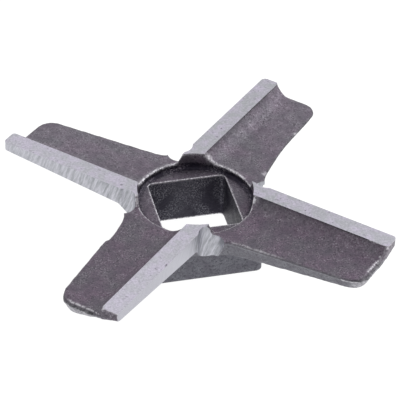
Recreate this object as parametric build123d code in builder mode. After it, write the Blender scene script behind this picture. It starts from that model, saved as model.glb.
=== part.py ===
from build123d import *
import os
from math import radians, sqrt, tan

os.makedirs("parts", exist_ok=True)

# Meat grinder knife: a square hub with four blades, cast in one piece and then ground.
# The hub stands on Z = 0, and the cutting lands at the top run against the grinder plate.
# All lengths are in millimetres.

# Blades in plan. Each one is drawn along +X, with its cutting side towards +Y.
blade_count = 4
first_blade_angle = 45.0        # the blades leave the hub over the corners of the drive square
blade_reach = 25.15             # axis to the end of the cast blade behind the land
land_overreach = 0.35           # end of a cutting land, past the end of the cast blade
rake_offset = 5.15              # axis to the ground rake face, which is parallel to the blade
land_width = 2.3                # ground cutting land, back from the rake face
grinding_allowance = 0.4        # cast metal that the grinding of the rake face takes away
trailing_offset = 3.55          # axis to the trailing edge, at the blade's end
trailing_taper = 5.7            # degrees that the trailing edge opens towards the hub
tip_corner_radius = 2.2
web_radius = 4.2                # cast fillet in plan between one blade and the next
cove_radius = 1.6               # cove that the grinding leaves at the root of the rake face
cove_undercut = 0.33            # cove into the blade, past the rake face
cove_wall = 5.1                 # axis to the side of the cove, in the root of the next blade

# Heights.
knife_height = 8.6              # hub rest face to the cutting lands
land_height = 1.4               # cutting land above the cast top of the blade
land_flank_radius = 2.5         # hollow flank from the land down to the cast top
land_front_run = 0.55           # slope of the cast land's front, which is left only beside the cove
land_corner_radius = 0.5        # between the hollow flank and the land's end
counterbore_depth = 0.93        # below the cast top
flash_band = 0.55               # upright band between the cast top and the parting line
flash_step = 0.15               # trimmed step under that band
casting_draft = 20.0            # degrees, below the parting line
back_depth_root = 4.65          # cutting lands down to the blade's back, where it leaves the hub
back_depth_tip = 3.25           # the same at the blade's end
edge_depth_root = 2.7           # height of the rake face where the blade leaves the hub
edge_depth_tip = 1.2            # height of the rake face at the blade's end
back_bevel_offset = -1.0        # axis to the line where the flat back turns up to the cutting edge

# Hub.
drive_square = 10.0             # square hole for the worm shaft, across flats
drive_corner_radius = 0.6
counterbore_radius = 7.3
boss_square = 14.4
boss_corner_radius = 0.9
boss_height = 3.2               # upright sides of the boss, up to its flare
flare_angle = 36.0              # degrees that the flare opens from the boss into the blades
root_blend_radius = 2.5         # cast fillet where the flare turns out under the blades

land_reach = blade_reach + land_overreach
cast_top = knife_height - land_height
parting_height = cast_top - flash_band
leading_offset = rake_offset + grinding_allowance
land_back = rake_offset - land_width
trailing_root_offset = trailing_offset + blade_reach * tan(radians(trailing_taper))
flank_run = sqrt(2 * land_flank_radius * land_height - land_height**2)
flank_foot = land_back - flank_run
land_front = rake_offset + land_front_run
cove_centre = (cove_wall + cove_radius, rake_offset - cove_undercut + cove_radius)

# Outline of one blade, from the axis to its end.
with BuildSketch() as blade_outline:
    with BuildLine():
        Polyline(
            (0, leading_offset),
            (blade_reach, leading_offset),
            (blade_reach, -trailing_offset),
            (0, -trailing_root_offset),
            close=True,
        )
    make_face()
    fillet(blade_outline.vertices().sort_by_distance((blade_reach, -trailing_offset))[0], tip_corner_radius)

# Outline of the whole casting at the parting line, with a fillet in each notch between two blades.
with BuildSketch(Plane.XY.offset(parting_height)) as casting_outline:
    with PolarLocations(0, blade_count, start_angle=first_blade_angle):
        add(blade_outline.sketch)
    fillet(casting_outline.vertices().group_by(SortBy.DISTANCE)[0], web_radius)

with BuildSketch(Plane.XY.offset(parting_height)) as lower_outline:
    add(casting_outline.sketch)
    offset(amount=-flash_step, kind=Kind.INTERSECTION)

# Section of a raised land, seen along the blade: the hollow flank, the land and its cast front.
with BuildSketch(Plane.YZ) as land_section:
    with BuildLine():
        flank = TangentArc((flank_foot, cast_top), (land_back, knife_height), tangent=(1, 0))
        Polyline(
            flank @ 1,
            (rake_offset, knife_height),
            (land_front, cast_top),
            (land_front, parting_height),
            (flank_foot, parting_height),
            flank @ 0,
        )
    make_face()

# The same land in plan: below the land itself, its end falls back to the end of the blade.
with BuildSketch(Plane.XY.offset(parting_height)) as land_outline:
    with BuildLine():
        Polyline(
            (0, land_front),
            (land_reach, land_front),
            (land_reach, land_back),
            (blade_reach, flank_foot),
            (0, flank_foot),
            close=True,
        )
    make_face()


def space_under_back(distance, back_depth, edge_depth):
    """Section of the space below a blade's back, at a distance from the axis."""
    back = knife_height - back_depth
    edge = knife_height - edge_depth
    with BuildSketch(Plane.YZ.offset(distance)) as section:
        with BuildLine():
            Polyline(
                (-trailing_root_offset, back),
                (back_bevel_offset, back),
                (rake_offset, edge),
                (leading_offset, edge),
                (leading_offset, 0),
                (-trailing_root_offset, 0),
                close=True,
            )
        make_face()
    return section.sketch


# What is taken from under each blade, so that its back rises to the end and to the cutting edge.
with BuildPart() as under_blade:
    root_space = space_under_back(leading_offset, back_depth_root, edge_depth_root)
    tip_space = space_under_back(land_reach, back_depth_tip, edge_depth_tip)
    loft([root_space, tip_space], ruled=True)
    extrude(root_space, amount=-leading_offset)

with BuildPart() as land_bar:
    extrude(land_section.sketch, amount=land_reach)
    extrude(land_outline.sketch, amount=knife_height, mode=Mode.INTERSECT)
    flank_end = ((land_reach + blade_reach) / 2, (land_back + flank_foot) / 2, cast_top)
    fillet(land_bar.edges().sort_by_distance(flank_end)[0], land_corner_radius)

# The drafted underside, before its blades are thinned.
with BuildPart() as drafted_casting:
    extrude(lower_outline.sketch, amount=boss_height - parting_height, taper=casting_draft)

with BuildSketch() as boss_outline:
    RectangleRounded(boss_square, boss_square, boss_corner_radius)

# The boss opens upwards and turns out under the blades, inside the drafted casting.
with BuildPart() as root_flare:
    with BuildSketch(Plane.XY.offset(boss_height)):
        add(boss_outline.sketch)
    extrude(amount=parting_height - boss_height, taper=-flare_angle)
    with BuildSketch(Plane.XY.offset(parting_height)):
        Rectangle(2 * blade_reach, 2 * blade_reach)
    extrude(amount=flash_band)
    ceiling = root_flare.faces().filter_by(Axis.Z).sort_by(Axis.Z)[-2]
    fillet(ceiling.inner_wires().edges(), root_blend_radius)
    add(drafted_casting.part, mode=Mode.INTERSECT)

with BuildPart() as grinder_knife:
    # Blades: drafted below the parting line, upright above it, thinned from below.
    add(drafted_casting.part)
    extrude(casting_outline.sketch, amount=flash_band)
    with PolarLocations(0, blade_count, start_angle=first_blade_angle):
        add(land_bar.part)
        add(under_blade.part, mode=Mode.SUBTRACT)

    # Hub.
    add(root_flare.part)
    extrude(boss_outline.sketch, amount=boss_height)

    # Rake faces, each ground along its blade up to the cove at the root.
    with BuildSketch():
        with PolarLocations(0, blade_count, start_angle=first_blade_angle):
            with Locations(cove_centre):
                Circle(cove_radius)
            with Locations((cove_centre[0], rake_offset)):
                Rectangle(land_reach, cove_radius, align=(Align.MIN, Align.MIN))
    extrude(amount=knife_height, mode=Mode.SUBTRACT)

    # Round counterbore and the square drive hole below it.
    with Locations((0, 0, knife_height)):
        Hole(counterbore_radius, depth=land_height + counterbore_depth)
    with BuildSketch():
        RectangleRounded(drive_square, drive_square, drive_corner_radius)
    extrude(amount=knife_height, mode=Mode.SUBTRACT)

grinder_knife.part.label = "grinder_knife"
export_step(grinder_knife.part, "parts/grinder_knife.step")
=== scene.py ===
from math import cos, pi, radians, sin, sqrt

import bmesh
import bpy
import numpy as np
from mathutils import Matrix, Vector, noise
from mathutils.kdtree import KDTree


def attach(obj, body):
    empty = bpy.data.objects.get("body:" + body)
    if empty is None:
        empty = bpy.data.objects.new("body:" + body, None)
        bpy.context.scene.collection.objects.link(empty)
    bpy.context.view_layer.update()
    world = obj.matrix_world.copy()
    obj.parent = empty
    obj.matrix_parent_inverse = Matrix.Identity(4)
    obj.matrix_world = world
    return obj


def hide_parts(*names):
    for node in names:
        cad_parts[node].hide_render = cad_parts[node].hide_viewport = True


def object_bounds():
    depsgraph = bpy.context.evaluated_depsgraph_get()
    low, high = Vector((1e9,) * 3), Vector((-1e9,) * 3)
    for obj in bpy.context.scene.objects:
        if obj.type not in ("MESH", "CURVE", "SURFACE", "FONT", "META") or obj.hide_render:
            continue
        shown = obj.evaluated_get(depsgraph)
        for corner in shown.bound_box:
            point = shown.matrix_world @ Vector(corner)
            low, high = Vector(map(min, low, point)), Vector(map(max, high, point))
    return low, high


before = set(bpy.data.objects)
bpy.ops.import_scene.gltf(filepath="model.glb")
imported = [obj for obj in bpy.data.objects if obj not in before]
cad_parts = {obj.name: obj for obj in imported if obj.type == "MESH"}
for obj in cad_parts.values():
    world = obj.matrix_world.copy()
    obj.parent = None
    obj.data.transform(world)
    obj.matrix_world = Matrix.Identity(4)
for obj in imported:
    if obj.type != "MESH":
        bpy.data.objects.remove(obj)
cad_low, cad_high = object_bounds()

MM = 0.001
NODE = "grinder_knife"

# Places on the knife, in millimetres, as in its construction.
LAND_HEIGHT = 1.4                       # cutting lands above the cast face of the blades
FLASH_BAND = 0.55                       # cast face down to the parting line of the casting
RECESS_DEPTH = 0.93                     # counterbore below the cast face
RECESS_RADIUS = 7.3
BOSS_HEIGHT = 3.2
DRIVE_HALF = 5.0                        # half of the drive square
RAKE_OFFSET = 5.15                      # ground rake face, from the axis
LAND_WIDTH = 2.3
FLANK_RADIUS = 2.5                      # hollow flank between a land and the cast face
COVE_RADIUS = 1.6                       # cove at the root of the rake face
COVE_WALL = 5.1                         # side of the cove, from the axis
COVE_UNDERCUT = 0.33                    # cove into the blade, past the rake face
BLADE_END = 25.15
LAND_OVERREACH = 0.35                   # end of a land, past the end of the cast blade

KNIFE_HEIGHT = cad_high.z / MM
CAST_TOP = KNIFE_HEIGHT - LAND_HEIGHT
PARTING = CAST_TOP - FLASH_BAND
RECESS_FLOOR = CAST_TOP - RECESS_DEPTH
LAND_BACK = RAKE_OFFSET - LAND_WIDTH
FLANK_FOOT = LAND_BACK - sqrt(2 * FLANK_RADIUS * LAND_HEIGHT - LAND_HEIGHT ** 2)
COVE_X = COVE_WALL + COVE_RADIUS
COVE_Y = RAKE_OFFSET - COVE_UNDERCUT + COVE_RADIUS
LAND_END = BLADE_END + LAND_OVERREACH

# The four blades, by the angle that each one leaves the hub at.
BACK_RIGHT, BACK_LEFT, FRONT_LEFT, FRONT_RIGHT = 45.0, 135.0, 225.0, 315.0
BLADES = (BACK_RIGHT, BACK_LEFT, FRONT_LEFT, FRONT_RIGHT)

# Mesh.
CELL = 0.22                             # side of a mesh cell
SHORTEST_EDGE = 0.025
SHARP_ANGLE = radians(24)
ON_FACE = 0.03                          # a point this near to a ground face lies on it
ON_WALL = 0.02                          # a point this far past the counterbore's wall still lies on it
WELD = 1e-4                             # points of the node this near to each other are one
FLAT_ANGLE = radians(0.2)               # faces that meet at less than this are one

# Order of the knife's materials.
CAST, LAND, RAKE = range(3)


# ---------------------------------------------------------------- small helpers

def smooth_step(values, start, end):
    t = np.clip((values - start) / (end - start), 0, 1)
    return t * t * (3 - 2 * t)


def hump(values, start, end):
    """Rises from 0 at the start to 1 halfway and falls back to 0 at the end."""
    t = np.clip((values - start) / (end - start), 0, 1)
    return np.sin(pi * t) ** 2


def noise_at(places, scale, seed):
    """Smooth noise, about -1 to 1, with bumps about 1/scale wide."""
    offset = Vector((seed * 17.3, seed * 5.1, seed * 9.7))
    return np.array([noise.noise(Vector(place) * scale + offset) for place in places])


def along_blade(places, angle):
    """Coordinates in the frame of one blade: x along it, y towards its cutting side."""
    c, s = cos(radians(angle)), sin(radians(angle))
    x = places[:, 0] * c + places[:, 1] * s
    y = places[:, 1] * c - places[:, 0] * s
    return np.stack([x, y, places[:, 2]], axis=1)


def on_blade(local):
    """Which points lie nearer to this blade than to the next one."""
    return np.abs(np.degrees(np.arctan2(local[:, 1], local[:, 0]))) < 45


def on_rake(local):
    """Which points lie on the flat part of this blade's rake face."""
    return (local[:, 0] > COVE_X) & (np.abs(local[:, 1] - RAKE_OFFSET) < ON_FACE)


def on_cove(local):
    """Which points lie on the cove at the root of this blade's rake face."""
    return np.abs(np.hypot(local[:, 0] - COVE_X, local[:, 1] - COVE_Y) - COVE_RADIUS) < ON_FACE


def in_recess(places):
    """Which points lie on the counterbore's floor, or on its wall up to the lands."""
    radius = np.hypot(places[:, 0], places[:, 1])
    return (radius < RECESS_RADIUS + ON_WALL) & (places[:, 2] > RECESS_FLOOR - 0.1)


def near_square(places, margin):
    """Which points lie inside the drive square, with a margin round it."""
    return np.maximum(np.abs(places[:, 0]), np.abs(places[:, 1])) < DRIVE_HALF + margin


def tree_of(points):
    tree = KDTree(len(points))
    for i, point in enumerate(points):
        tree.insert(point, i)
    tree.balance()
    return tree


def distance_to(tree, places):
    return np.array([tree.find(Vector(place))[2] for place in places])


def shifted(local, axis, amount):
    moved = local.copy()
    moved[:, axis] += amount
    return moved


# ---------------------------------------------------------------- the knife's mesh

def cut_into_cells(surface, direction, half_length):
    """Cuts every face where it crosses evenly spaced planes."""
    count = int(2 * half_length / CELL)
    for i in range(1, count):
        place = direction * (half_length * (2 * i / count - 1))
        everything = surface.verts[:] + surface.edges[:] + surface.faces[:]
        bmesh.ops.bisect_plane(surface, geom=everything, dist=1e-5, plane_co=place, plane_no=direction)


def fine_surface(node):
    """The node's surface in millimetres, cut into small cells that keep its sharp edges."""
    surface = bmesh.new()
    surface.from_mesh(node.data)
    bmesh.ops.scale(surface, vec=(1 / MM,) * 3, verts=surface.verts)
    bmesh.ops.remove_doubles(surface, verts=surface.verts, dist=WELD)
    bmesh.ops.dissolve_limit(surface, angle_limit=FLAT_ANGLE, verts=surface.verts, edges=surface.edges)
    diagonal = sqrt(0.5)
    cut_into_cells(surface, Vector((diagonal, diagonal, 0)), LAND_END)
    cut_into_cells(surface, Vector((-diagonal, diagonal, 0)), LAND_END)
    cut_into_cells(surface, Vector((0, 0, 1)), KNIFE_HEIGHT)
    bmesh.ops.remove_doubles(surface, verts=surface.verts, dist=SHORTEST_EDGE)
    bmesh.ops.triangulate(surface, faces=surface.faces[:])
    surface.normal_update()
    return surface


def rake_marks(places):
    """Which points lie on a rake face or its cove, and how far along it each one lies."""
    marked = np.zeros(len(places), bool)
    distance = np.zeros(len(places))
    for angle in BLADES:
        local = along_blade(places, angle)
        flat = on_rake(local)
        cove = on_cove(local)
        turn = np.arctan2(local[:, 1] - COVE_Y, local[:, 0] - COVE_X)
        turn = np.where(turn > pi / 2, turn - 2 * pi, turn)
        distance = np.where(flat, local[:, 0], distance)
        distance = np.where(cove, COVE_X + COVE_RADIUS * (turn + pi / 2), distance)
        marked |= flat | cove
    return marked, distance


def mark_depth(places):
    """How deep the wheel's marks are: full at the coves, then fainter, most of all on the near blade."""
    depth = np.ones(len(places))
    for angle in BLADES:
        local = along_blade(places, angle)
        left = {BACK_LEFT: 0.7, FRONT_LEFT: 0.12}.get(angle, 0.2)
        fading = smooth_step(local[:, 0], 8.0, 10.0 if angle == FRONT_LEFT else 19.0)
        depth = np.where(on_rake(local), 1 - (1 - left) * fading, depth)
    return depth


def edge_tree(surface, chosen):
    """A tree of points along the sharp edges that are chosen."""
    points = []
    for edge in surface.edges:
        if edge.calc_face_angle(0.0) > SHARP_ANGLE and chosen(edge):
            a, b = (v.co for v in edge.verts)
            points += [a.copy(), (a + b) / 2, b.copy()]
    return tree_of(points)


def smoothed(places, pairs, weight, rounds):
    """Each point moves towards the middle of its neighbours, as far as its weight says."""
    count = np.bincount(pairs.ravel(), minlength=len(places))
    for _ in range(rounds):
        total = np.zeros_like(places)
        for axis in range(3):
            total[:, axis] += np.bincount(pairs[:, 0], places[pairs[:, 1], axis], len(places))
            total[:, axis] += np.bincount(pairs[:, 1], places[pairs[:, 0], axis], len(places))
        middle = total / np.maximum(count, 1)[:, None]
        places = places + (middle - places) * weight[:, None]
    return places


# ---------------------------------------------------------------- what sets one blade apart

def lengthened(local, amount, from_y):
    """Draws the end of a land out, and with from_y below the blade the blade's end as well."""
    share = smooth_step(local[:, 0], 19.0, LAND_END) * smooth_step(local[:, 1], from_y, from_y + 2.0)
    return shifted(local, 0, amount * share)


def rounded_land_end(local, end, radius):
    """Rounds the corner, in plan, between the rake face and the end of the land."""
    centre_x, centre_y = end - radius, RAKE_OFFSET - radius
    from_x, from_y = local[:, 0] - centre_x, local[:, 1] - centre_y
    reach = np.hypot(from_x, from_y)
    outside = (from_x > 0) & (from_y > 0) & (reach > radius)
    scale = np.where(outside, radius / np.maximum(reach, radius), 1.0)
    moved = local.copy()
    moved[:, 0] = np.where(outside, centre_x + from_x * scale, local[:, 0])
    moved[:, 1] = np.where(outside, centre_y + from_y * scale, local[:, 1])
    return moved


def narrowed(local, amount, start, end):
    """Takes metal off the trailing side, most of it halfway between two places on the blade."""
    share = hump(local[:, 0], start, end) * smooth_step(-local[:, 1], 0.5, 5.0)
    return shifted(local, 1, amount * share)


def flared_end(local, amount):
    """Draws the blade's end out below its cast top, towards the parting line."""
    share = smooth_step(local[:, 0], 23.3, 24.9) * smooth_step(CAST_TOP - local[:, 2], 0.05, 0.5)
    share = share * (1 - smooth_step(local[:, 1], 0.7, 3.2))
    return shifted(local, 0, amount * share)


def undercut(local, slope):
    """Leans the trailing side further in under the blade."""
    depth = np.maximum(CAST_TOP - 0.2 - local[:, 2], 0)
    share = smooth_step(local[:, 0], 8.0, 10.5) * smooth_step(-local[:, 1], 2.0, 3.4)
    return shifted(local, 1, slope * depth * share)


def stepped(local, amount, place):
    """A jog in the trailing side, which is narrowest just on the hub's side of it."""
    share = 1 - smooth_step(local[:, 0], place - 0.35, place + 0.35)
    share = share * smooth_step(local[:, 0], 7.5, 12.0) * smooth_step(-local[:, 1], 1.0, 5.0)
    return shifted(local, 1, amount * share)


def uneven(places):
    """The knife's points with the differences that casting and grinding leave between its blades."""
    whole = places
    for angle in BLADES:
        local = along_blade(places, angle)
        mine = on_blade(local) & (local[:, 0] > 6)
        shaped = local[mine]
        if angle == BACK_RIGHT:
            longer = 0.22
            shaped = lengthened(shaped, longer, from_y=-8.0)
            shaped = rounded_land_end(shaped, LAND_END + longer, radius=0.65)
            shaped = narrowed(shaped, amount=0.42, start=6.5, end=24.0)
            shaped = undercut(shaped, slope=0.5)
        elif angle == BACK_LEFT:
            longer = 0.25
            shaped = lengthened(shaped, longer, from_y=0.9)
            shaped = flared_end(shaped, amount=0.22)
            shaped = rounded_land_end(shaped, LAND_END + longer, radius=0.55)
        elif angle == FRONT_LEFT:
            shaped = stepped(shaped, amount=0.34, place=13.1)
            shaped = flared_end(shaped, amount=0.5)
            shaped = rounded_land_end(shaped, LAND_END, radius=0.45)
        else:
            longer = 0.2
            shaped = lengthened(shaped, longer, from_y=0.9)
            shaped = flared_end(shaped, amount=0.6)
            shaped = rounded_land_end(shaped, LAND_END + longer, radius=0.5)
        result = along_blade(whole, angle)
        result[mine] = shaped
        whole = along_blade(result, -angle)
    return whole


# ---------------------------------------------------------------- what the materials read

def store(mesh, name, values):
    kind, key = ("FLOAT", "value") if values.ndim == 1 else ("FLOAT_VECTOR", "vector")
    layer = mesh.attributes.new(name, kind, "POINT")
    layer.data.foreach_set(key, values.astype(np.float32).ravel())


def top_share(places):
    """Where the oxide of the cast top lies: on the blades, down their flanks and in the counterbore."""
    on_top = smooth_step(places[:, 2], PARTING + 0.2, CAST_TOP - 0.05)
    return np.where(in_recess(places), 1.0, on_top)


def bare_spot(places, angle, x, y, radius):
    """A patch of bare metal at one place on a blade."""
    local = along_blade(places, angle)
    reach = np.hypot(local[:, 0] - x, local[:, 1] - y)
    return np.exp(-(reach / radius) ** 2) * smooth_step(places[:, 2], CAST_TOP - 0.35, CAST_TOP - 0.1)


def hub_wear(places):
    """How strongly and how widely each edge is worn: faintly on the blades, most on the hub's rims."""
    x, y, z = places.T
    radius = np.hypot(x, y)
    share = np.full(len(places), 0.12)
    width = np.full(len(places), 0.15)
    on_rim = (np.abs(radius - RECESS_RADIUS) < 0.4) & (z > RECESS_FLOOR)
    share[on_rim] = 1.0
    width[on_rim] = 0.11
    far_rim = on_rim & (y - 0.2 * x > 1.0)
    share[far_rim] = 1.2
    width[far_rim] = 0.22
    near_wall = (radius > RECESS_RADIUS - 0.9) & (radius < RECESS_RADIUS + ON_WALL)
    share[near_wall & (z < RECESS_FLOOR + 0.4)] = 0.0
    on_square = near_square(places, margin=0.4)
    share[on_square] = 1.2
    width[on_square] = 0.085
    return share, width


def worn_edges_and_painted_light(places, near_edge):
    """How bright each point is: the hub's worn rims, the near blades' worn edges and a few bare spots,
    with painted light on the near blades' lower ends and on the front-right blade's land end and flank.
    """
    z = places[:, 2]
    share, width = hub_wear(places)
    painted_light = np.zeros(len(places))
    for angle in (FRONT_LEFT, FRONT_RIGHT):
        local = along_blade(places, angle)
        x, y = local[:, 0], local[:, 1]
        outer = on_blade(local) & (x > 8.5)
        end = outer & (x > 23.0)
        upper = end & (z > PARTING + 0.25)
        bright_from = -1.0 if angle == FRONT_RIGHT else -2.4
        share[end] = 0.85
        share[upper & (y < bright_from)] = 0.1
        width[upper] = 0.09
        # painted light on the lower end faces of the near blades
        painted_light = np.where(end & (z < PARTING - 0.1), 0.5 * smooth_step(x, 23.6, 24.2), painted_light)
        if angle == FRONT_RIGHT:
            trailing = outer & (x < 23.0) & (y < -3) & (z > PARTING + 0.3)
            share = np.where(trailing, 0.6 - 0.45 * smooth_step(x, 13.0, 16.0), share)
            # painted light on the end face of the land, and a little on the flank towards the land
            end_face = (x > BLADE_END) & (y > 1.3) & (z < KNIFE_HEIGHT - ON_FACE)
            painted_light = np.where(end & end_face, 0.26, painted_light)
            on_flank = outer & (z > CAST_TOP - 0.05) & (z < KNIFE_HEIGHT - 0.2)
            rise = smooth_step(y, FLANK_FOOT - 0.4, LAND_BACK)
            painted_light = np.maximum(painted_light, np.where(on_flank, 0.065 * rise, 0.0))
    worn_and_lit = np.maximum(share * np.exp(-(near_edge / width) ** 2), painted_light)
    worn_and_lit = np.maximum(worn_and_lit, bare_spot(places, BACK_RIGHT, x=18.6, y=-4.1, radius=0.25))
    worn_and_lit = np.maximum(worn_and_lit, bare_spot(places, BACK_RIGHT, x=9.0, y=-5.0, radius=0.4) * 0.7)
    worn_and_lit = np.maximum(worn_and_lit, bare_spot(places, BACK_RIGHT, x=7.3, y=2.4, radius=0.3))
    return np.maximum(worn_and_lit, bare_spot(places, FRONT_RIGHT, x=7.0, y=2.6, radius=0.45))


def painted_shade_lines(places, near_edge):
    """Painted shade in dark lines: under the lands, along the far blades' edges and between the near
    ones' bright ones.
    """
    height = places[:, 2]
    shade = np.zeros(len(places))
    for angle in BLADES:
        local = along_blade(places, angle)
        x, y = local[:, 0], local[:, 1]
        flank = (x > 6) & (y > FLANK_FOOT) & (y < LAND_BACK + ON_FACE)
        # painted shade on the steep top of each flank, just under the land's edge
        steep = smooth_step(height, KNIFE_HEIGHT - 0.18, KNIFE_HEIGHT - 0.06)
        shade = np.where(flank & (height > CAST_TOP + 0.1), 0.95 * steep, shade)
        outer = on_blade(local) & (x > 8.0) & (y < 0)
        if angle in (BACK_LEFT, BACK_RIGHT):
            # painted shade along the far blades' edges
            shade = np.where(outer, 0.75 * np.exp(-(near_edge / 0.16) ** 2), shade)
        else:
            # painted shade on the band between the near blades' bright edges, at their ends and along the
            # front-right blade's trailing side
            band = smooth_step(height, PARTING + 0.05, PARTING + 0.18)
            band = band * smooth_step(CAST_TOP - height, 0.08, 0.2)
            end = smooth_step(x, 23.2, 24.2) * (y < 1.6)
            if angle == FRONT_RIGHT:
                end = np.maximum(end, 0.6 * (x > 8.5) * (y < -3))
            shade = np.maximum(shade, 0.75 * band * np.where(on_blade(local), end, 0.0))
    return shade


def painted_hollow_shade(places):
    """How much painted shade lies in the hollows, over the drive hole's dark oxide: most in the drive
    hole and on the counterbore's wall.
    """
    x, y, z = places.T
    inside = in_recess(places) & (z < CAST_TOP - 0.05)
    share = np.where(inside, 0.92, 0.0)
    # painted shade in the corner where the counterbore's floor meets its wall
    corner = smooth_step(np.hypot(x, y), RECESS_RADIUS - 0.75, RECESS_RADIUS - 0.3)
    share = np.where(inside & (z < RECESS_FLOOR + 0.05), 0.20 + 0.72 * corner, share)
    in_hole = near_square(places, margin=0.05) & (z < RECESS_FLOOR - 0.1)
    rubbed = np.exp(-((x + 0.3) / 1.7) ** 2) * (y > DRIVE_HALF - 0.1)
    return np.where(in_hole, 0.94 - 0.22 * rubbed, share)


# ---------------------------------------------------------------- the knife

def ground_faces(surface):
    """Which faces are ground: those of the rake faces and those of the lands."""
    centres = np.array([face.calc_center_median() for face in surface.faces])
    normals = np.array([face.normal for face in surface.faces])
    on_rakes = rake_marks(centres)[0] & (np.abs(normals[:, 2]) < 0.4)
    on_lands = (centres[:, 2] > KNIFE_HEIGHT - ON_FACE) & (normals[:, 2] > 0.9)
    return on_rakes, on_lands


def mark_faces(surface, on_rakes, on_lands):
    """Gives every face its material and keeps the edges of the ground faces sharp."""
    ground = on_rakes | on_lands
    for edge in surface.edges:
        beside_ground = any(ground[face.index] for face in edge.link_faces)
        edge.smooth = not (beside_ground and edge.calc_face_angle(0.0) > SHARP_ANGLE)
    for face, rake, land in zip(surface.faces, on_rakes, on_lands):
        face.material_index = RAKE if rake else LAND if land else CAST
        face.smooth = True


def ground_points(surface, ground):
    """Which points belong to a ground face: they stay flat and keep their sharp edges."""
    chosen = np.zeros(len(surface.verts), bool)
    for face, is_ground in zip(surface.faces, ground):
        if is_ground:
            chosen[[vertex.index for vertex in face.verts]] = True
    return chosen


def softening(places, near_edge, ground):
    """How far each point moves as cast edges are rounded: most below the blades, hardly at the boss."""
    low = smooth_step(PARTING + 0.1 - places[:, 2], 0.0, 0.4)
    weight = np.where(near_square(places, margin=0.25), 0.12, 0.45 + 0.45 * low)
    weight = weight * (1 - smooth_step(near_edge, 0.3, 0.7))
    weight = np.where(places[:, 2] < BOSS_HEIGHT, 0.02, weight)
    return np.where(ground, 0.0, weight)


def cast_waves(places, ground):
    """How far the uneven cast skin lies from its true place: a little inwards on the whole."""
    waves = 0.015 * noise_at(places, 0.45, 1) + 0.016 * noise_at(places, 1.7, 2) - 0.027
    from_ground = distance_to(tree_of([Vector(place) for place in places[ground]]), places)
    share = np.where(ground, 0.0, smooth_step(from_ground, 0.05, 0.4))
    return waves * share * smooth_step(places[:, 2], 0.0, BOSS_HEIGHT)


def make_knife():
    surface = fine_surface(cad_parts[NODE])
    places = np.array([vertex.co for vertex in surface.verts])
    on_rakes, on_lands = ground_faces(surface)
    ground = ground_points(surface, on_rakes | on_lands)
    near_edge = distance_to(edge_tree(surface, lambda edge: True), places)
    near_ridge = distance_to(edge_tree(surface, lambda edge: edge.is_convex), places)
    mark_faces(surface, on_rakes, on_lands)

    mesh = bpy.data.meshes.new("knife")
    surface.to_mesh(mesh)
    pairs = np.array([[vertex.index for vertex in edge.verts] for edge in surface.edges])
    surface.free()

    store(mesh, "place", places)
    store(mesh, "grind", np.stack([rake_marks(places)[1], mark_depth(places), places[:, 2]], axis=1))
    # wear of the edges, with painted light on the near blades' ends and the front-right blade's flank
    store(mesh, "wear_and_painted_light", worn_edges_and_painted_light(places, near_ridge))
    # painted shade in lines along edges and under the lands
    store(mesh, "shade_lines", painted_shade_lines(places, near_ridge))
    # painted shade in the hollows, over the drive hole's dark oxide
    store(mesh, "hollow", painted_hollow_shade(places))
    store(mesh, "top", top_share(places))

    places = smoothed(places, pairs, softening(places, near_edge, ground), rounds=5)
    places = uneven(places)
    mesh.vertices.foreach_set("co", places.astype(np.float32).ravel())
    mesh.update()
    outward = np.array([vertex.normal for vertex in mesh.vertices])
    places = places + outward * cast_waves(places, ground)[:, None]
    mesh.vertices.foreach_set("co", (places * MM).astype(np.float32).ravel())
    mesh.update()

    knife = bpy.data.objects.new("knife", mesh)
    bpy.context.scene.collection.objects.link(knife)
    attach(knife, "root")
    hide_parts(NODE)
    return knife


# ---------------------------------------------------------------- materials

class Nodes:
    """Short calls that add and join shader nodes."""

    def __init__(self, name):
        self.material = bpy.data.materials.new(name)
        self.material.use_nodes = True
        self.tree = self.material.node_tree
        self.shader = self.tree.nodes["Principled BSDF"]

    def add(self, kind, inputs=None, **settings):
        node = self.tree.nodes.new(kind)
        for key, value in settings.items():
            setattr(node, key, value)
        for key, value in (inputs or {}).items():
            self.put(node.inputs[key], value)
        return node

    def put(self, socket, value):
        if isinstance(value, bpy.types.NodeSocket):
            self.tree.links.new(value, socket)
        else:
            socket.default_value = value

    def attribute(self, name, output="Vector"):
        return self.add("ShaderNodeAttribute", attribute_name=name).outputs[output]

    def split(self, vector, axis):
        return self.add("ShaderNodeSeparateXYZ", {"Vector": vector}).outputs[axis]

    def noise(self, place, scale, detail=2.0, rough=0.5):
        inputs = {"Vector": place, "Scale": scale, "Detail": detail, "Roughness": rough}
        return self.add("ShaderNodeTexNoise", inputs).outputs["Fac"]

    def math(self, operation, a, b=0.0, clamp=False):
        node = self.add("ShaderNodeMath", operation=operation, use_clamp=clamp)
        self.put(node.inputs[0], a)
        self.put(node.inputs[1], b)
        return node.outputs[0]

    def ramp(self, value, low, high, to_low=0.0, to_high=1.0):
        inputs = {"Value": value, "From Min": low, "From Max": high, "To Min": to_low, "To Max": to_high}
        return self.add("ShaderNodeMapRange", inputs).outputs["Result"]

    def mix(self, factor, a, b, blend="MIX"):
        node = self.add("ShaderNodeMix", data_type="RGBA", blend_type=blend)
        self.put(node.inputs[0], factor)
        self.put(node.inputs[6], a)
        self.put(node.inputs[7], b)
        return node.outputs[2]

    def bump(self, height, strength, depth):
        inputs = {"Height": height, "Strength": strength, "Distance": depth * MM}
        return self.add("ShaderNodeBump", inputs).outputs["Normal"]

    def finished(self, colour, metallic, roughness, normal):
        inputs = {"Base Color": colour, "Metallic": metallic, "Roughness": roughness, "Normal": normal}
        for key, value in inputs.items():
            self.put(self.shader.inputs[key], value)
        return self.material


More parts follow.
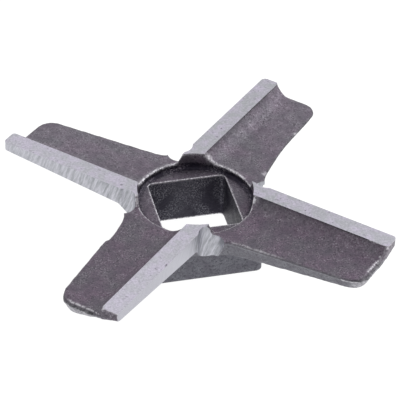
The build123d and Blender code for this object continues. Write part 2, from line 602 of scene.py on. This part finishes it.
def cast_skin():
    """Cast grey iron: sparkling grain, purple oxide on top with a painted sheen towards the back, greyer
    sides, worn edges with painted light, painted shade along edges and in the hollows.
    """
    side_low, side_high = (0.152, 0.155, 0.180, 1), (0.178, 0.178, 0.203, 1)
    oxide_grey, oxide_purple = (0.118, 0.105, 0.128, 1), (0.140, 0.100, 0.142, 1)
    # painted sheen colour: the cast top grows paler towards the back
    painted_back_sheen = (0.5, 0.5, 0.55, 1)
    dull_patch, pit = (0.092, 0.080, 0.108, 1), (0.030, 0.025, 0.036, 1)
    # the last colour below is bare metal for wear, also used as painted light on the near blades' ends
    # and flank
    sparkle, bare_metal_and_light = (0.44, 0.41, 0.47, 1), (0.80, 0.78, 0.83, 1)
    # Painted shade: the first colour below lies in the hollows, over the drive hole's dark oxide; the
    # second in lines along edges and under the lands.
    oxide_and_shade, painted_shade_colour = (0.009, 0.006, 0.020, 1), (0.008, 0.008, 0.011, 1)

    n = Nodes("cast_skin")
    place = n.attribute("place")
    on_top = n.attribute("top", "Fac")
    across, height = n.split(place, "Y"), n.split(place, "Z")
    stain = n.noise(place, 0.28, detail=3.0)
    patch = n.noise(place, 0.9)
    grain = n.noise(place, 3.7, detail=3.0, rough=0.7)
    speck = n.noise(place, 5.0, rough=0.6)

    side = n.mix(n.ramp(height, BOSS_HEIGHT, 5.0), side_low, side_high)
    top = n.mix(n.ramp(stain, 0.38, 0.62), oxide_grey, oxide_purple)
    # painted sheen: the cast top grows paler towards the back
    top = n.mix(n.ramp(across, -6.0, 14.0), top, n.mix(0.14, top, painted_back_sheen))
    colour = n.mix(on_top, side, top)
    colour = n.mix(n.ramp(patch, 0.42, 0.66, 0.0, 0.45), colour, dull_patch)
    pits = n.math("MULTIPLY", n.ramp(grain, 0.32, 0.50, 0.85, 0.0), n.ramp(patch, 0.4, 0.65, 1.0, 0.5))
    colour = n.mix(pits, colour, pit)
    bright = n.math("MULTIPLY", n.ramp(speck, 0.50, 0.68, 0.0, 0.55), n.ramp(patch, 0.35, 0.6, 1.0, 0.2))
    bright = n.math("MULTIPLY", bright, n.ramp(on_top, 0.0, 1.0, 0.45, 1.0))
    colour = n.mix(bright, colour, sparkle)

    dust = n.ramp(n.noise(place, 0.45), 0.43, 0.54)
    bare = n.math("MULTIPLY", n.ramp(speck, 0.46, 0.6), dust)
    # painted shade in the counterbore and its corner, over the drive hole's dark oxide
    hollow = n.math("MULTIPLY", n.attribute("hollow", "Fac"), n.ramp(bare, 0.0, 1.0, 1.0, 0.15))
    colour = n.mix(hollow, colour, oxide_and_shade)
    # painted shade in lines along edges and under the lands
    colour = n.mix(n.attribute("shade_lines", "Fac"), colour, painted_shade_colour)
    ragged = n.ramp(n.noise(place, 3.2, detail=2.5, rough=0.6), 0.40, 0.56, 0.25, 1.0)
    # worn edges and bare spots, with painted light on the near blades' lower ends and the front-right
    # blade's land end and flank
    worn_and_lit = n.math("MULTIPLY", n.attribute("wear_and_painted_light", "Fac"), ragged, clamp=True)
    colour = n.mix(worn_and_lit, colour, bare_metal_and_light)

    roughness = n.ramp(grain, 0.3, 0.7, 0.60, 0.42)
    return n.finished(colour, 0.6, roughness, n.bump(grain, strength=0.75, depth=0.10))


def ground_land():
    """Cutting land: ground flat, pale, with faint blotches, a few dark pits and a painted sheen towards
    the left and the front.
    """
    ground_grey, ground_lilac = (0.415, 0.42, 0.45, 1), (0.51, 0.475, 0.57, 1)
    # the first colour below is a painted sheen for the lands' left and front
    painted_sheen, grit = (0.72, 0.69, 0.80, 1), (0.27, 0.27, 0.30, 1)
    sparkle, pit = (0.70, 0.68, 0.76, 1), (0.16, 0.15, 0.18, 1)

    n = Nodes("ground_land")
    place = n.attribute("place")
    blotch = n.noise(place, 0.6, detail=3.0)
    pits = n.noise(place, 2.6, detail=1.5)
    fine = n.noise(place, 3.6, detail=2.5, rough=0.7)

    colour = n.mix(n.ramp(blotch, 0.40, 0.60), ground_grey, ground_lilac)
    # painted sheen: the lands grow paler towards the left and towards the front
    colour = n.mix(n.ramp(n.split(place, "X"), 8.0, -16.0, 0.0, 0.24), colour, painted_sheen)
    colour = n.mix(n.ramp(n.split(place, "Y"), -2.0, -16.0, 0.0, 0.20), colour, painted_sheen)
    colour = n.mix(n.ramp(fine, 0.36, 0.56, 0.40, 0.0), colour, grit)
    colour = n.mix(n.ramp(fine, 0.54, 0.72, 0.0, 0.35), colour, sparkle)
    marks = n.math("MULTIPLY", n.ramp(pits, 0.63, 0.75, 0.0, 0.9), n.ramp(blotch, 0.35, 0.6))
    colour = n.mix(marks, colour, pit)

    roughness = n.ramp(blotch, 0.3, 0.7, 0.36, 0.46)
    return n.finished(colour, 0.9, roughness, n.bump(fine, strength=0.25, depth=0.03))


def ground_rake():
    """Rake face: slanting marks of the grinding wheel, deepest at the root cove."""
    ground, streaked = (0.575, 0.575, 0.63, 1), (0.31, 0.32, 0.345, 1)
    # painted shade colour for the front of the rake faces
    shaded = (0.30, 0.29, 0.33, 1)

    n = Nodes("ground_rake")
    grind = n.attribute("grind")
    along, depth, height = (n.split(grind, axis) for axis in "XYZ")
    slant = n.add("ShaderNodeCombineXYZ")
    n.put(slant.inputs["X"], n.math("ADD", along, n.math("MULTIPLY", height, 0.35)))
    n.put(slant.inputs["Y"], n.math("MULTIPLY", height, 0.16))
    marks = n.noise(slant.outputs[0], 2.4, detail=3.0, rough=0.7)

    streak = n.math("MULTIPLY", n.ramp(marks, 0.38, 0.62), depth)
    colour = n.mix(streak, ground, streaked)
    across = n.split(n.attribute("place"), "Y")
    # painted shade: the rake faces grow darker towards the front
    colour = n.mix(n.ramp(across, -10.5, -17.0, 0.0, 0.26), colour, shaded)

    relief = n.math("MULTIPLY", marks, depth)
    return n.finished(colour, 0.9, 0.42, n.bump(relief, strength=0.6, depth=0.07))


# ---------------------------------------------------------------- floor, light and camera

def make_floor():
    """A pale floor that hardly takes a shadow, as under the knife in the photograph."""
    half = 1.2                          # metres
    corners = [(-half, -half, 0), (half, -half, 0), (half, half, 0), (-half, half, 0)]
    mesh = bpy.data.meshes.new("floor")
    mesh.from_pydata(corners, [], [(0, 1, 2, 3)])
    floor = bpy.data.objects.new("floor", mesh)
    bpy.context.scene.collection.objects.link(floor)
    n = Nodes("pale_floor")
    n.shader.inputs["Base Color"].default_value = (0.1, 0.1, 0.1, 1)
    n.shader.inputs["Roughness"].default_value = 0.9
    n.shader.inputs["Emission Color"].default_value = (1, 1, 1, 1)
    n.shader.inputs["Emission Strength"].default_value = 0.98
    mesh.materials.append(n.material)


def make_light(name, place, size, power):
    """A square lamp that faces the knife, with its place and size in metres."""
    light = bpy.data.lights.new(name, "AREA")
    light.shape = "SQUARE"
    light.size = size
    light.energy = power
    lamp = bpy.data.objects.new(name, light)
    lamp.location = place
    lamp.rotation_mode = "QUATERNION"
    lamp.rotation_quaternion = (-Vector(place)).to_track_quat("-Z", "Y")
    bpy.context.scene.collection.objects.link(lamp)


def make_world():
    """A white studio, darker in front, on the photographer's side."""
    world = bpy.data.worlds.new("studio")
    world.use_nodes = True
    tree = world.node_tree
    direction = tree.nodes.new("ShaderNodeTexCoord").outputs["Generated"]
    facing = tree.nodes.new("ShaderNodeVectorMath")
    facing.operation = "DOT_PRODUCT"
    facing.inputs[1].default_value = Vector((-0.35, -0.92, 0.15)).normalized()
    strength = tree.nodes.new("ShaderNodeMapRange")
    strength.interpolation_type = "SMOOTHSTEP"
    strength.inputs["From Min"].default_value = 0.0
    strength.inputs["From Max"].default_value = 0.85
    strength.inputs["To Min"].default_value = 1.0
    strength.inputs["To Max"].default_value = 0.40
    tree.links.new(direction, facing.inputs[0])
    tree.links.new(facing.outputs["Value"], strength.inputs["Value"])
    tree.links.new(strength.outputs["Result"], tree.nodes["Background"].inputs["Strength"])
    tree.nodes["Background"].inputs["Color"].default_value = (1.0, 1.0, 1.0, 1)
    bpy.context.scene.world = world


# The camera, from the photograph: where it stands and how the frame sits round the knife.
VIEW_AZIMUTH = radians(-14.29)
VIEW_ELEVATION = radians(37.48)
VIEW_ROLL = 0.0275
VIEW_DISTANCE = 276.16 * MM
FOCAL_PIXELS = 2209.3
IMAGE_PIXELS = 400
OFFSET_PIXELS = (-4.57, -11.76)         # from the frame's middle to the top of the axis


def make_camera():
    a, e = VIEW_AZIMUTH, VIEW_ELEVATION
    back = Vector((sin(a) * cos(e), -cos(a) * cos(e), sin(e)))
    right = Vector((cos(a), sin(a), 0))
    up = back.cross(right)
    turned_right = right * cos(VIEW_ROLL) + up * sin(VIEW_ROLL)
    turned_up = up * cos(VIEW_ROLL) - right * sin(VIEW_ROLL)
    data = bpy.data.cameras.new("camera")
    data.sensor_width = 36.0
    data.lens = data.sensor_width * FOCAL_PIXELS / IMAGE_PIXELS
    data.shift_x = -OFFSET_PIXELS[0] / IMAGE_PIXELS
    data.shift_y = OFFSET_PIXELS[1] / IMAGE_PIXELS
    data.clip_start = 0.01
    data.clip_end = 10.0
    camera = bpy.data.objects.new("camera", data)
    axes = Matrix((turned_right, turned_up, back)).transposed().to_4x4()
    target = Vector((0, 0, KNIFE_HEIGHT * MM))
    camera.matrix_world = Matrix.Translation(target + back * VIEW_DISTANCE) @ axes
    bpy.context.scene.collection.objects.link(camera)
    bpy.context.scene.camera = camera


knife = make_knife()
for material in (cast_skin(), ground_land(), ground_rake()):
    knife.data.materials.append(material)
make_floor()
make_world()
make_light("key", place=(0.5, 0.25, 0.35), size=0.3, power=1.0)
make_camera()
bpy.context.scene.view_settings.view_transform = "Standard"
